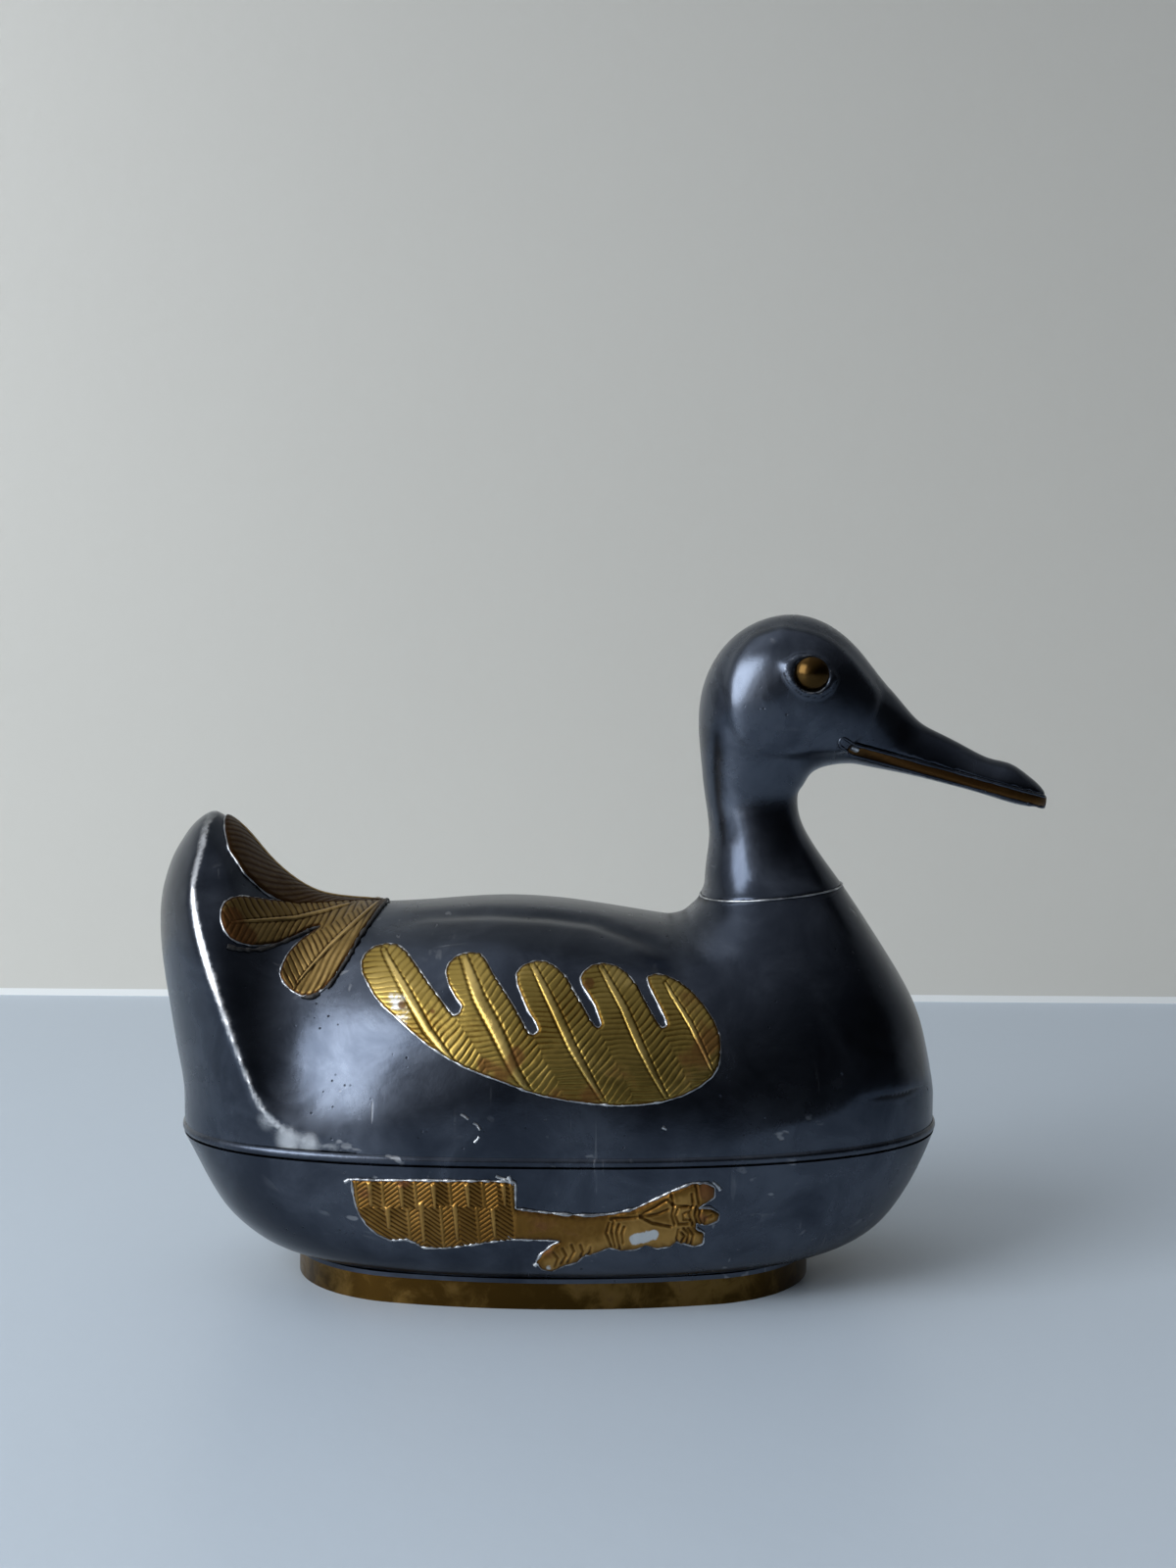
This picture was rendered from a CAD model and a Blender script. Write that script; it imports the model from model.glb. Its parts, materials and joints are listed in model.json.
import json
import math

import bmesh
import bpy
import numpy as np
from mathutils import Matrix, Vector, noise
from mathutils.bvhtree import BVHTree
from mathutils.geometry import delaunay_2d_cdt
from mathutils.kdtree import KDTree

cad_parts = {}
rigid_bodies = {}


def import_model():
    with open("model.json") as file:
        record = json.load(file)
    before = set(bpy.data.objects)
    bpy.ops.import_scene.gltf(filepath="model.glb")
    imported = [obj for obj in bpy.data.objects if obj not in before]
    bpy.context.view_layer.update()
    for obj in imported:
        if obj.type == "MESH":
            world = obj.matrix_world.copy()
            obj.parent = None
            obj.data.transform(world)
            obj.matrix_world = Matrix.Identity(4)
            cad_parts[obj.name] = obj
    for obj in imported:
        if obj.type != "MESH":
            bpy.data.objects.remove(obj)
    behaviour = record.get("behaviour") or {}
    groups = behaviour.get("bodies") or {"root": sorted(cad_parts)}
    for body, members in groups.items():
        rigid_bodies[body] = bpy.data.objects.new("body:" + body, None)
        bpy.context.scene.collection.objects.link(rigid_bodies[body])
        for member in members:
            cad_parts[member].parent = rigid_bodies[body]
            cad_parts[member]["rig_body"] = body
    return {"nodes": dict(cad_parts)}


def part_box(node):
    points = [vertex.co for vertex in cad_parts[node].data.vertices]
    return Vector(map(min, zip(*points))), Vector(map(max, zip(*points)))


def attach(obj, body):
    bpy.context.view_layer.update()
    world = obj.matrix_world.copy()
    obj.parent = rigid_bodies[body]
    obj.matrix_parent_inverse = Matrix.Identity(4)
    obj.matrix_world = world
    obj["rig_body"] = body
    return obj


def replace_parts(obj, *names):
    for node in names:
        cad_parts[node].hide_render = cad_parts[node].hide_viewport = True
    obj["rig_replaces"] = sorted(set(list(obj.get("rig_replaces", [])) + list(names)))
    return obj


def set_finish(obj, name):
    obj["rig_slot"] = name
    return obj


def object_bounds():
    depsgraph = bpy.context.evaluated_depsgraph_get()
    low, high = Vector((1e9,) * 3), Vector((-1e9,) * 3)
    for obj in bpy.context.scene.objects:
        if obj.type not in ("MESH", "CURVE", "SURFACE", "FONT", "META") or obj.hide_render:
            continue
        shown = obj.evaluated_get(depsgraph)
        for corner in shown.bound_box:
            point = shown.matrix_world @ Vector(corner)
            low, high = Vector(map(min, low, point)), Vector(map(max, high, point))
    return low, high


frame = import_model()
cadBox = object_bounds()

# Everything is in metres. The dictionaries hold millimetres for radius, thickness, rise, depth,
# width, voxel and wall, and points of the 1200 x 1600 picture for lines drawn on it.
mm = .001
scene = bpy.context.scene
nodes = frame["nodes"]


def placed(name, data):
    obj = bpy.data.objects.new(name, data)
    scene.collection.objects.link(obj)
    return obj


viewSetup = {
    "place": (.00964, -.715, .215),
    "fallDegrees": 5.2,
    "rollDegrees": .43,
    "lens": 54,
    "sensor": 36,
    "picture": (1200, 1600),
}


class PhotoView:
    # maps between the picture's points and the object's frame

    def __init__(self, setup):
        turn = Matrix.Rotation(math.radians(90 - setup["fallDegrees"]), 4, "X")
        turn = turn @ Matrix.Rotation(math.radians(setup["rollDegrees"]), 4, "Z")
        self.matrix = Matrix.Translation(setup["place"]) @ turn
        self.eye = np.array(setup["place"])
        self.turn = np.array(turn)[:3, :3]
        self.focus = setup["lens"] / setup["sensor"] * setup["picture"][1]
        self.centre = np.array(setup["picture"]) / 2

    def toPicture(self, points):
        local = (np.asarray(points) - self.eye) @ self.turn
        flat = local[:, :2] / -local[:, 2:3]
        return self.centre + self.focus * flat * [1, -1]

    def rays(self, picture):
        flat = (np.asarray(picture) - self.centre) / self.focus * [1, -1]
        local = np.column_stack([flat, -np.ones(len(flat))])
        world = local @ self.turn.T
        return world / np.linalg.norm(world, axis=1)[:, None]


photoView = PhotoView(viewSetup)


def makeCamera(setup):
    data = bpy.data.cameras.new("photoCamera")
    data.lens = setup["lens"]
    data.sensor_fit = "VERTICAL"
    data.sensor_height = setup["sensor"]
    camera = placed("photoCamera", data)
    camera.matrix_world = photoView.matrix
    scene.camera = camera


makeCamera(viewSetup)
print("camera made")


class Wire:
    # a node's output; sums and products on it add Math nodes

    def __init__(self, maker, socket):
        self.maker = maker
        self.socket = socket

    def maths(self, operation, *values):
        return self.maker.node("ShaderNodeMath", dict(enumerate(values)), operation=operation)

    def __add__(self, other):
        return self.maths("ADD", self, other)

    __radd__ = __add__

    def __sub__(self, other):
        return self.maths("SUBTRACT", self, other)

    def __rsub__(self, other):
        return self.maths("SUBTRACT", other, self)

    def __mul__(self, other):
        return self.maths("MULTIPLY", self, other)

    __rmul__ = __mul__

    def atLeast(self, other):
        return self.maths("MAXIMUM", self, other)

    def atMost(self, other):
        return self.maths("MINIMUM", self, other)

    def between(self, low, high, start=0.0, end=1.0):
        ends = {0: self, 1: low, 2: high, 3: start, 4: end}
        return self.maker.node("ShaderNodeMapRange", ends, interpolation_type="SMOOTHSTEP")


class Maker:
    # adds nodes to one tree

    def __init__(self, tree):
        self.tree = tree

    def feed(self, socket, value):
        if isinstance(value, Wire):
            self.tree.links.new(value.socket, socket)
        else:
            socket.default_value = value

    def node(self, kind, inputs, out=0, **settings):
        made = self.tree.nodes.new(kind)
        for key, value in settings.items():
            setattr(made, key, value)
        for key, value in inputs.items():
            self.feed(made.inputs[key], value)
        return Wire(self, made.outputs[out])


class Finish(Maker):
    # one material under construction

    def __init__(self, name, metallic=1.0):
        self.material = bpy.data.materials.new(name)
        self.material.use_nodes = True
        super().__init__(self.material.node_tree)
        self.shader = self.tree.nodes["Principled BSDF"]
        self.shader.inputs["Metallic"].default_value = metallic
        self.place = self.node("ShaderNodeTexCoord", {}, out="Object")

    def spots(self, scale, detail=2.0, rough=.5, stretch=(1, 1, 1), turn=(0, 0, 0), warp=0.0):
        mapped = self.node("ShaderNodeMapping", {"Vector": self.place, "Scale": stretch,
                                                 "Rotation": turn})
        return self.node("ShaderNodeTexNoise", {"Vector": mapped, "Scale": scale, "Detail": detail,
                                                "Roughness": rough, "Distortion": warp})

    def attribute(self, name):
        return self.node("ShaderNodeAttribute", {}, out="Fac", attribute_name=name)

    def mix(self, share, one, two):
        return self.node("ShaderNodeMix", {0: share, 6: one, 7: two}, out=2, data_type="RGBA")

    def bump(self, height, distance, strength, below=None):
        inputs = {"Height": height, "Distance": distance, "Strength": strength}
        if below:
            inputs["Normal"] = below
        return self.node("ShaderNodeBump", inputs)

    def wire(self, colour, roughness, normal):
        for name, value in (("Base Color", colour), ("Roughness", roughness), ("Normal", normal)):
            self.feed(self.shader.inputs[name], value)
        return self.material


def rgb(red, green, blue):
    return (red, green, blue, 1.0)


# Scratches are stretched noise: scale, stretch, turn and the two ends of what shows.
# Dents, grain and marks are the distance and the strength of a bump.
pewterLooks = {
    "dark": rgb(.034, .041, .056),
    "pale": rgb(.085, .098, .125),
    "worn": rgb(.50, .51, .53),
    "smut": rgb(.010, .011, .014),
    "roughness": .26,
    "scratched": .4,
    "dents": (.0005, .12),
    "grain": (.00022, .16),
    "marks": (.0001, .55),
    "scratches": [(300, (.035, 1, .5), (.3, .5, .7), .66, .72),
                  (260, (.6, .03, 1), (.9, .2, .35), .67, .73),
                  (340, (1, .5, .03), (.55, .8, 1.1), .67, .72)],
}
innerLooks = {**pewterLooks, "dark": rgb(.16, .165, .175), "pale": rgb(.28, .285, .30),
              "roughness": .48}


def pewterFinish(name, looks):
    f = Finish(name)
    cloud = f.spots(14, 4, .6)
    blotch = f.spots(45, 5, .65, warp=.6)
    grain = f.spots(900, 3, .6)
    fine = f.spots(260, 4, .7)
    lines = [f.spots(scale, 2, .5, stretch, turn).between(low, high)
             for scale, stretch, turn, low, high in looks["scratches"]]
    sparse = f.spots(26, 3, .6).between(.50, .72)
    scratch = (lines[0] + lines[1] + lines[2]).atMost(1) * sparse
    pits = f.node("ShaderNodeTexVoronoi", {"Vector": f.place, "Scale": 330.0, "Randomness": 1.0})
    pit = (1 - pits.between(.02, .16)) * f.spots(60, 2).between(.55, .68)
    worn = f.attribute("worn")
    wornEdge = (worn * 1.5 + (fine - .5) * .9 * worn).between(.35, 1.05)
    smut = f.attribute("smut") * (.65 + .5 * blotch)
    body = f.mix((cloud * .6 + blotch * .5).between(.42, .72), looks["dark"], looks["pale"])
    body = f.mix(scratch * looks["scratched"], body, looks["worn"])
    body = f.mix(wornEdge, body, looks["worn"])
    body = f.mix(smut.between(.25, .75), body, looks["smut"])
    body = f.mix(pit * .7, body, looks["smut"])
    roughness = looks["roughness"] + (cloud - .5) * .16 + (blotch - .5) * .14 + scratch * .12
    roughness = (roughness + pit * .3 + wornEdge * .06 + smut * .25).atMost(.85).atLeast(.12)
    low = f.bump(f.spots(38, 2), *looks["dents"])
    mid = f.bump(fine, *looks["grain"], low)
    marks = f.bump(grain * .3 - scratch * .8 - pit * 2.5, *looks["marks"], mid)
    return f.wire(colour=body, roughness=roughness, normal=marks)


# Bright, base, deep and stain colours, roughness, share of stain, and whether it is chased
brassLooks = {
    "wing": ((.470, .340, .115), (.240, .168, .043), (.076, .041, .007), (.10, .045, .015),
             .33, .0, True),
    "tail": ((.380, .255, .100), (.160, .103, .034), (.041, .019, .006), (.085, .035, .012),
             .38, .10, True),
    "leg": ((.385, .219, .062), (.177, .089, .020), (.063, .029, .007), (.16, .07, .03),
            .40, .10, True),
    "foot": ((.300, .178, .050), (.055, .029, .006), (.012, .006, .003), (.05, .028, .015),
             .36, .25, False),
    "strip": ((.13, .07, .022), (.065, .03, .009), (.02, .010, .004), (.05, .02, .01),
              .36, .2, False),
    "eye": ((.10, .06, .018), (.05, .028, .009), (.018, .009, .004), (.05, .02, .01),
            .22, .1, False),
}
brassWorn = rgb(.60, .61, .60)


def brassFinish(name, bright, base, deep, stain, roughness, stained, chased):
    f = Finish(name)
    cloud = f.spots(30, 4, .6)
    blotch = f.spots(120, 5, .7, warp=.5)
    fine = f.spots(500, 4, .7)
    height = f.attribute("relief") if chased else .28 + .35 * cloud + .3 * blotch
    worn = f.attribute("worn")
    low = (height + (fine - .5) * .25).between(.10, .52)
    body = f.mix(low, rgb(*deep), rgb(*base))
    lift = (height * .9 + (cloud - .5) * .9 + (blotch - .5) * .5).between(.45, 1.0)
    body = f.mix(lift, body, rgb(*bright))
    body = f.mix((worn + (blotch - .5) * 1.1).between(.42, .66), body, brassWorn)
    stains = f.attribute("stain") + stained + (blotch - .5) * .9 + (cloud - .5) * .8
    stains = stains.between(.30, .62)
    body = f.mix(stains * .85, body, rgb(*stain))
    roughness = roughness + (blotch - .5) * .2 + stains * .22 - lift * .05
    roughness = (roughness + (1 - low) * .12).atMost(.8).atLeast(.15)
    return f.wire(colour=body, roughness=roughness, normal=f.bump(fine * .6 + blotch, .00012, .35))


solderLooks = {"dark": rgb(.22, .23, .25), "pale": rgb(.60, .62, .64), "dirt": rgb(.10, .10, .10),
               "roughness": .34}
smutLooks = {"dark": rgb(.006, .006, .007), "pale": rgb(.035, .032, .03), "metallic": .2,
             "roughness": .62}


def solderFinish(name, looks):
    f = Finish(name)
    cloud = f.spots(160, 4, .6)
    fine = f.spots(700, 3, .7)
    body = f.mix(cloud.between(.35, .65), looks["dark"], looks["pale"])
    body = f.mix(fine.between(.55, .75) * .5, body, looks["dirt"])
    return f.wire(colour=body, roughness=looks["roughness"] + (fine - .5) * .3,
                  normal=f.bump(fine + cloud, .0002, .6))


def smutFinish(name, looks):
    f = Finish(name, looks["metallic"])
    fine = f.spots(500, 3, .7)
    body = f.mix(fine.between(.4, .7), looks["dark"], looks["pale"])
    return f.wire(colour=body, roughness=looks["roughness"] + (fine - .5) * .3,
                  normal=f.bump(fine, .0002, .5))


finishes = {
    "pewter": pewterFinish("darkPewter", pewterLooks),
    "innerPewter": pewterFinish("innerPewter", innerLooks),
    "solder": solderFinish("paleSolder", solderLooks),
    "smut": smutFinish("blackSmut", smutLooks),
}
for kind, looks in brassLooks.items():
    finishes[kind] = brassFinish(kind + "Brass", *looks)
print("finishes made:", ", ".join(finishes))


def dress(obj, finish):
    obj.data.materials.clear()
    obj.data.materials.append(finishes[finish])


nodeFinishes = {
    "base_bowl": "pewter", "bottom_plate": "pewter", "rim_lip": "innerPewter", "lid_shell": "pewter",
    "lid_bead": "pewter", "neck_and_head": "pewter", "foot_ring": "foot", "bill_plate": "strip",
    "right_eye": "eye", "left_eye": "eye", "right_wing": "wing", "left_wing": "wing",
    "tail_feathers": "tail", "right_leg": "leg", "left_leg": "leg",
}
for label, finish in nodeFinishes.items():
    dress(nodes[label], finish)

# A seat is a pewter surface that the sheets and the solder lie on

neckPlane = {"place": Vector((.045, 0, .1164)), "tilt": math.radians(5.1)}
neckUp = Vector((-math.sin(neckPlane["tilt"]), 0, math.cos(neckPlane["tilt"])))


def treeOf(*labels):
    points, faces = [], []
    for label in labels:
        mesh = nodes[label].data
        start = len(points)
        points += [v.co[:] for v in mesh.vertices]
        faces += [[start + i for i in p.vertices] for p in mesh.polygons]
    return BVHTree.FromPolygons(points, faces)


seats = {"lid": treeOf("lid_shell"), "bowl": treeOf("base_bowl"),
         "bill": treeOf("neck_and_head", "bill_plate")}
down, overhead = Vector((0, 0, -1)), .3


def photoCast(seat):
    # picture points on a seat; a ray that misses takes the seat's point nearest the middle plane
    def cast(flat):
        eye = Vector(photoView.eye)
        hits = []
        for ray in photoView.rays(flat):
            hit = seats[seat].ray_cast(eye, Vector(ray))
            if hit[0] is None:
                middle = photoView.eye + ray * (-photoView.eye[1] / ray[1])
                hit = seats[seat].find_nearest(Vector(middle))
            hits.append((hit[0][:], hit[1][:]))
        return np.array([h[0] for h in hits]), np.array([h[1] for h in hits])
    return cast


def planCast(seat):
    # points of the plan, in metres, on a seat
    def cast(flat):
        hits = [seats[seat].ray_cast(Vector((x, y, overhead)), down) for x, y in flat]
        return np.array([h[0][:] for h in hits]), np.array([h[1][:] for h in hits])
    return cast


def seenOutline(label, facing=-.06):
    # the edge loop round the faces of a CAD sheet that look at the camera, in picture points
    bm = bmesh.new()
    bm.from_mesh(nodes[label].data)
    bmesh.ops.remove_doubles(bm, verts=bm.verts, dist=1e-6)
    eye = Vector(photoView.eye)
    outer = {f for f in bm.faces
             if f.normal.dot((f.calc_center_median() - eye).normalized()) < facing}
    follow = {}
    for face in (f for f in bm.faces if f in outer):
        for loop in face.loops:
            if sum(other in outer for other in loop.edge.link_faces) == 1:
                follow[loop.vert] = loop.link_loop_next.vert
    longest = []
    while follow:
        vert = next(iter(follow))
        ring = []
        while vert in follow:
            ring.append(vert.co[:])
            vert = follow.pop(vert)
        if len(ring) > len(longest):
            longest = ring
    bm.free()
    return photoView.toPicture(np.array(longest))


def evenly(line, step, closed=True):
    line = np.asarray(line, float)
    if closed:
        line = np.vstack([line, line[:1]])
    along = np.concatenate([[0], np.cumsum(np.linalg.norm(np.diff(line, axis=0), axis=1))])
    count = max(4, round(along[-1] / step))
    wanted = np.linspace(0, along[-1], count, endpoint=not closed)
    return np.column_stack([np.interp(wanted, along, line[:, k]) for k in range(line.shape[1])])


def rounded(line, step, times):
    line = evenly(line, step)
    for _ in range(times):
        line = .5 * line + .25 * np.roll(line, 1, 0) + .25 * np.roll(line, -1, 0)
    return line


def fromSegment(points, a, b):
    # where on the segment each point is nearest, as a share of its length, and the offset from it
    d = b - a
    t = np.clip((points - a) @ d / max(d @ d, 1e-18), 0, 1)
    return t, points - a - t[:, None] * d


def edgeDistance(points, outline):
    best = np.full(len(points), np.inf)
    for a, b in zip(outline, np.roll(outline, -1, 0)):
        best = np.minimum(best, np.linalg.norm(fromSegment(points, a, b)[1], axis=1))
    return best


def meshed(outline, step, rowStep=.866, margin=.6):
    # triangles inside an outline, with rows of points that keep off its edge
    low, high = outline.min(0), outline.max(0)
    grid = []
    for k, v in enumerate(np.arange(low[1], high[1], step * rowStep)):
        row = np.arange(low[0] + step / 2 * (k % 2), high[0], step)
        grid.append(np.column_stack([row, np.full(len(row), v)]))
    grid = np.vstack(grid)
    grid = grid[edgeDistance(grid, outline) > margin * step]
    count = len(outline)
    edges = [(k, (k + 1) % count) for k in range(count)]
    made = delaunay_2d_cdt([Vector(p) for p in np.vstack([outline, grid])], edges, [], 1, 1e-9)
    return np.array([v[:] for v in made[0]]), [tuple(f) for f in made[2]]


def smoothNormals(points, faces):
    faces = np.array(faces)
    a, b, c = (points[faces[:, k]] for k in range(3))
    flat = np.cross(b - a, c - a)
    total = np.zeros_like(points)
    for k in range(3):
        np.add.at(total, faces[:, k], flat)
    return total / np.maximum(np.linalg.norm(total, axis=1), 1e-20)[:, None]


def settle(obj, body, slot, *replaced):
    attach(obj, body)
    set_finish(obj, slot)
    if replaced and replaced[0]:
        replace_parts(obj, *replaced)


def setAttribute(obj, name, values):
    attribute = obj.data.attributes.new(name, "FLOAT", "POINT")
    attribute.data.foreach_set("value", np.asarray(values, np.float32))


solderGap = .10
sharpAngle = math.radians(50)


def makeSheet(name, node, outline, setup, cast, relief):
    # front skin with its relief, side wall and back skin, closed
    flat, faces = meshed(outline, setup["step"])
    seat, hitNormals = cast(flat)
    normals = smoothNormals(seat, faces)
    if (normals * hitNormals).sum() < 0:
        faces = [f[::-1] for f in faces]
        normals = -normals
    lift, marks = relief(setup, outline, flat)
    front = seat + normals * (setup["thickness"] * mm + lift * mm)[:, None]
    back = seat + normals * (solderGap * mm)
    count = len(flat)
    allFaces = faces + [tuple(i + count for i in f[::-1]) for f in faces]
    directed = dict.fromkeys((a, b) for f in faces for a, b in zip(f, f[1:] + f[:1]))
    allFaces += [(b, a, a + count, b + count) for a, b in directed if (b, a) not in directed]
    mesh = bpy.data.meshes.new(name)
    mesh.from_pydata(np.vstack([front, back]).tolist(), [], allFaces)
    mesh.validate()
    mesh.polygons.foreach_set("use_smooth", [True] * len(mesh.polygons))
    mesh.set_sharp_from_angle(angle=sharpAngle)
    obj = placed(name, mesh)
    for key, values in marks.items():
        setAttribute(obj, key, np.concatenate([values, values]))
    dress(obj, setup["finish"])
    settle(obj, setup["body"], setup["slot"], node)
    print(name, "faces:", len(mesh.polygons))
    return obj


outlines = {}


def makePair(setup, drawn, relief):
    # the right sheet as drawn, and the left one as its mirror image
    outline = outlines[setup["finish"]] = rounded(drawn, *setup["rounding"])
    rightNode, leftNode = setup["nodes"]
    cast, name = photoCast(setup["body"]), "left" + setup["name"]
    obj = makeSheet("right" + setup["name"], rightNode, outline, setup, cast, relief)
    twin = obj.copy()
    twin.data = obj.data.copy()
    twin.name = name
    twin.data.name = name
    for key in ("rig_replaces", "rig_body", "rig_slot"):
        if key in twin:
            del twin[key]
    scene.collection.objects.link(twin)
    twin.data.transform(Matrix.Diagonal((1, -1, 1, 1)))
    twin.data.flip_normals()
    settle(twin, setup["body"], setup["slot"], leftNode)


def nearLine(points, line):
    # signed distance (right of the line is positive) and the share of the line's length
    line = np.asarray(line, float)
    best, signed, share = np.full(len(points), np.inf), np.zeros(len(points)), np.zeros(len(points))
    lengths = np.linalg.norm(np.diff(line, axis=0), axis=1)
    run = 0.0
    for a, b, length in zip(line, line[1:], lengths):
        t, offset = fromSegment(points, a, b)
        distance = np.linalg.norm(offset, axis=1)
        side = np.sign(offset[:, 0] * (b - a)[1] - offset[:, 1] * (b - a)[0])
        closer = distance < best
        best[closer] = distance[closer]
        signed[closer] = (side * distance)[closer]
        share[closer] = ((run + t * length) / lengths.sum())[closer]
        run += length
    return signed, share


def wobble(points, scale, seed):
    return np.array([noise.noise(Vector((p[0] * scale, p[1] * scale, seed))) for p in points])


def bell(value, width):
    return np.exp(-(value / width) ** 2)


def spotMarks(points, spots):
    total = np.zeros(len(points))
    for x, y, radius, strength in spots:
        total += strength * bell(np.linalg.norm(points - [x, y], axis=1), radius)
    return np.clip(total, 0, 1)


def cuts(phase, width):
    # how deep in a groove each point is, for grooves at whole numbers, and how high between two
    fraction = phase - np.floor(phase)
    return bell(np.minimum(fraction, 1 - fraction), width), np.sin(np.pi * fraction)


# Quills are drawn in points of an enlarged part of the picture: (point - origin) * zoom.
# Right and left of a quill: degrees, spacing, depth, cut, crown and bend of the barbs.
# The pairs of chasing are a scale and a seed of noise, or the two ends of a range.
chasing = {
    "waver": (.012, 3.1), "wander": .35, "stagger": .37,
    "press": (.02, 7.7), "pressMiddle": .75, "pressSpread": .5, "pressRange": (.25, 1.2),
    "quillEnd": .45, "quillSwell": .9, "quillRound": .6, "quillFade": 12,
    "flankAt": 1.15, "flankWidth": .22, "flankDepth": .9,
    "hand": (.006, 1.3), "handDepth": .10, "edgeWidth": .45, "toneSpan": 2.2,
}


def feathered(setup, outline, flat):
    # relief of quills, given as width and line, and of the barbs that meet them
    quills = [np.array(line, float) for width, line in setup["quills"]]
    c = chasing
    points = (flat - np.array(setup["origin"], float)) * setup["zoom"]
    near = [nearLine(points, q) for q in quills]
    nearest = np.argmin([np.abs(n[0]) for n in near], axis=0)
    signed = np.choose(nearest, [n[0] for n in near])
    share = np.choose(nearest, [n[1] for n in near])
    waver = wobble(points, *c["waver"])
    height = np.zeros(len(points))
    for sign, side in ((1, setup["right"]), (-1, setup["left"])):
        degrees, spacing, depth, cut, crown, bend = side
        turn = math.radians(degrees)
        cross = points @ np.array([math.sin(turn), math.cos(turn)]) + bend * np.abs(signed)
        phase = cross / spacing + c["wander"] * waver + nearest * c["stagger"]
        groove, between = cuts(phase, cut)
        here = signed * sign > 0
        height[here] = (crown * between - depth * groove)[here]
    height *= np.clip(c["pressMiddle"] + c["pressSpread"] * wobble(points, *c["press"]),
                      *c["pressRange"])
    widths = np.array([width for width, line in setup["quills"]], float)[nearest]
    swell = np.sin(np.pi * np.clip(share * .8 + .12, 0, 1))
    widths = widths * (c["quillEnd"] + c["quillSwell"] * swell)
    quill = np.clip(1 - (signed / widths) ** 2, 0, 1) ** c["quillRound"]
    quill *= np.clip(share * c["quillFade"], 0, 1) * np.clip((1 - share) * c["quillFade"], 0, 1)
    flank = bell(np.abs(signed) - widths * c["flankAt"], widths * c["flankWidth"] + 1)
    height = height * (1 - quill) + setup["quillHeight"] * quill
    height -= setup["depth"] * flank * c["flankDepth"]
    edge = edgeDistance(flat, outline) / setup["perMm"]
    height += c["handDepth"] * wobble(points, *c["hand"])
    height -= setup["edgeFall"] * bell(edge, c["edgeWidth"])
    return height, {"relief": np.clip(.5 + height / (c["toneSpan"] * setup["depth"]), 0, 1),
                    "worn": spotMarks(points, setup["worn"]),
                    "stain": spotMarks(points, setup["stain"])}


wingSetup = {
    "name": "WingFeathers", "body": "lid", "nodes": ("right_wing", "left_wing"), "finish": "wing",
    "slot": "wing_brass",
    "origin": (355, 945), "zoom": 4.02, "step": .95, "thickness": 1.0, "perMm": 3.6,
    "rounding": (1.1, 2),
    "quills": [
        (13, [(150, 105), (160, 130), (235, 260), (330, 430), (440, 570), (470, 600)]),
        (18, [(465, 110), (480, 140), (540, 300), (610, 430), (690, 600), (745, 680)]),
        (13, [(755, 165), (770, 190), (850, 350), (920, 500), (1000, 640), (1045, 715)]),
        (12, [(1035, 175), (1050, 200), (1130, 340), (1200, 500), (1260, 620), (1310, 710)]),
        (8, [(1300, 240), (1330, 290), (1400, 400), (1450, 500), (1495, 600)]),
    ],
    "right": (50, 27, .12, .12, .05, 0),
    "left": (176, 20, .095, .15, .03, .12),
    "quillHeight": .19, "depth": .16, "edgeFall": .35,
    "worn": [(190, 290, 60, .4), (230, 380, 70, .4), (330, 440, 50, .25), (300, 260, 60, .3),
             (560, 320, 30, .35)],
    "stain": [(690, 540, 50, .8), (560, 570, 45, .7), (640, 620, 60, .6), (850, 690, 80, .5),
              (990, 240, 25, .8), (1000, 690, 70, .45), (1090, 590, 60, .4), (225, 330, 18, .7),
              (350, 355, 16, .7), (1420, 300, 90, .5), (1480, 480, 90, .5), (1400, 560, 100, .45),
              (1200, 420, 110, .25), (1180, 660, 90, .35), (900, 770, 90, .4), (1340, 720, 80, .4),
              (640, 760, 60, .4)],
}

tailSetup = {
    "name": "TailFeathers", "body": "lid", "nodes": ("tail_feathers", None), "finish": "tail",
    "slot": "wing_brass",
    "origin": (180, 780), "zoom": 3.562, "step": .85, "thickness": .95, "perMm": 3.4,
    "rounding": (1.0, 6),
    "outline": [
        (398, 917), (388, 927), (380, 938), (369, 953), (355, 977), (339, 1001), (330, 1010),
        (320, 1016), (308, 1017), (297, 1011), (289, 1003), (285, 994), (288, 984), (294, 973),
        (302, 964), (312, 956), (323, 949), (327, 946), (318, 947), (308, 952), (296, 958),
        (282, 963), (268, 965), (256, 965), (243, 962), (234, 957), (228, 948), (225, 938),
        (225, 930), (228, 922), (235, 917), (244, 915), (256, 916), (275, 919), (294, 921),
        (312, 922), (330, 917), (360, 912)],
    "quills": [
        (6, [(200, 578), (245, 575), (430, 565), (540, 540), (640, 512)]),
        (6, [(440, 800), (470, 765), (560, 665), (690, 545), (740, 500)]),
    ],
    "right": (118, 21, .16, .15, .06, 0),
    "left": (62, 21, .16, .15, .06, 0),
    "quillHeight": .32, "depth": .16, "edgeFall": .3,
    "worn": [(480, 810, 45, .45), (540, 770, 30, .3)],
    "stain": [(195, 560, 40, 1), (215, 620, 40, 1), (260, 640, 30, .7), (430, 790, 30, .4)],
}

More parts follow.
